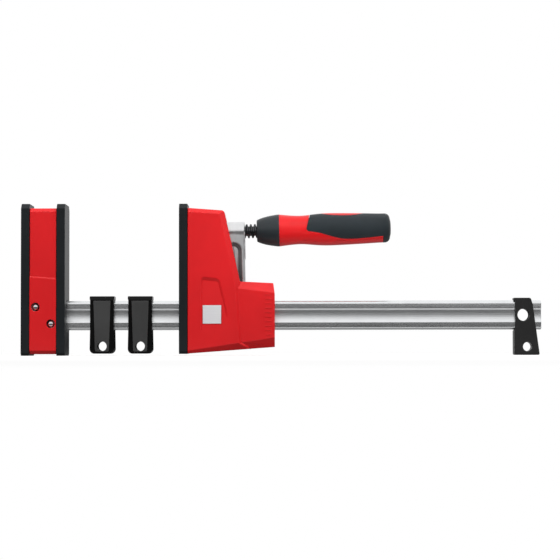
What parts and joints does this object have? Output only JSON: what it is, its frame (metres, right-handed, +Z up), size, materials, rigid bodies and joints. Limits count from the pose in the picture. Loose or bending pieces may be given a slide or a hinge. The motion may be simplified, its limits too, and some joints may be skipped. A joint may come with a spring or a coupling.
{
  "type": "parallel clamp",
  "caption": "Bar clamp with parallel jaws on a grooved steel rail, a self-locking sliding jaw with a screw handle, slide-on feet and an end clip",
  "frame": {"origin": "middle of the clamp's bounding box at bench level, under the fixed jaw's pads and the end clip", "axes": "+X along the rail from the fixed jaw to the free end, +Y to the rear side, +Z up from the rail to the screw"},
  "size_m": [0.511, 0.04, 0.149],
  "materials": {
    "rail_steel": "zinc plated, fine drawn lines",
    "core_steel": "cast, bare",
    "red_cover": "satin moulded",
    "pad_black": "matt moulded",
    "pin_steel": "polished",
    "foot_black": "fine grained",
    "clip_black": "satin moulded",
    "guide_black": "plain",
    "badge_grey": "satin, bare",
    "arm_cast": "zinc plated casting, satin",
    "spindle_steel": "blackened",
    "collar_black": "satin moulded",
    "handle_red": "satin moulded",
    "grip_soft": "soft touch"
  },
  "bodies": {
    "rail_and_fixed_jaw": {"rail": "rail_steel", "fixed_jaw_core": "core_steel", "fixed_jaw_front_shell": "red_cover", "fixed_jaw_rear_shell": "red_cover", "fixed_jaw_outer_pad": "pad_black", "fixed_jaw_inner_pad": "pad_black", "upper_jaw_pin": "pin_steel", "lower_jaw_pin": "pin_steel", "end_clip": "clip_black"},
    "support_1": {"rail_support_1": "foot_black"},
    "support_2": {"rail_support_2": "foot_black"},
    "sliding_jaw": {"sliding_jaw_housing": "red_cover", "sliding_jaw_pad": "pad_black", "thrust_plate": "core_steel", "rail_guide_front": "guide_black", "rail_guide_rear": "guide_black", "front_badge": "badge_grey", "rear_badge": "badge_grey"},
    "swivel_cup": {"thrust_cup": "pin_steel"},
    "arm": {"sliding_arm": "arm_cast"},
    "screw": {"spindle": "spindle_steel", "handle_collar": "collar_black", "handle_core": "handle_red", "handle_grip": "grip_soft", "hex_drive_insert": "pin_steel"}
  },
  "joints": [
    {"name": "support_1_slide", "type": "slide", "parent": "rail_and_fixed_jaw", "child": "support_1", "axis": [1, 0, 0], "range_m": [-0.0225, 0]},
    {"name": "support_2_slide", "type": "slide", "parent": "rail_and_fixed_jaw", "child": "support_2", "axis": [1, 0, 0], "range_m": [-0.0125, 0]},
    {"name": "jaw_slide", "type": "slide", "parent": "rail_and_fixed_jaw", "child": "sliding_jaw", "axis": [1, 0, 0], "range_m": [-0.024, 0.234]},
    {"name": "arm_lift", "type": "hinge", "parent": "sliding_jaw", "child": "swivel_cup", "pos_m": [-0.0831, 0, 0.1216], "axis": [0, -1, 0], "range_deg": [0, 1.6]},
    {"name": "screw_turn", "type": "hinge", "parent": "swivel_cup", "child": "screw", "pos_m": [-0.0831, 0, 0.1216], "axis": [-0.9997, 0, -0.0227], "range_deg": [-1080, 810]},
    {"name": "arm_travel", "type": "slide", "parent": "swivel_cup", "child": "arm", "axis": [0.9997, 0, 0.0227], "range_m": [-0.0121, 0.0091]}
  ],
  "couplings": [
    {"joint": "arm_travel", "follows": "screw_turn", "m_per_rad": 0.00063662}
  ]
}
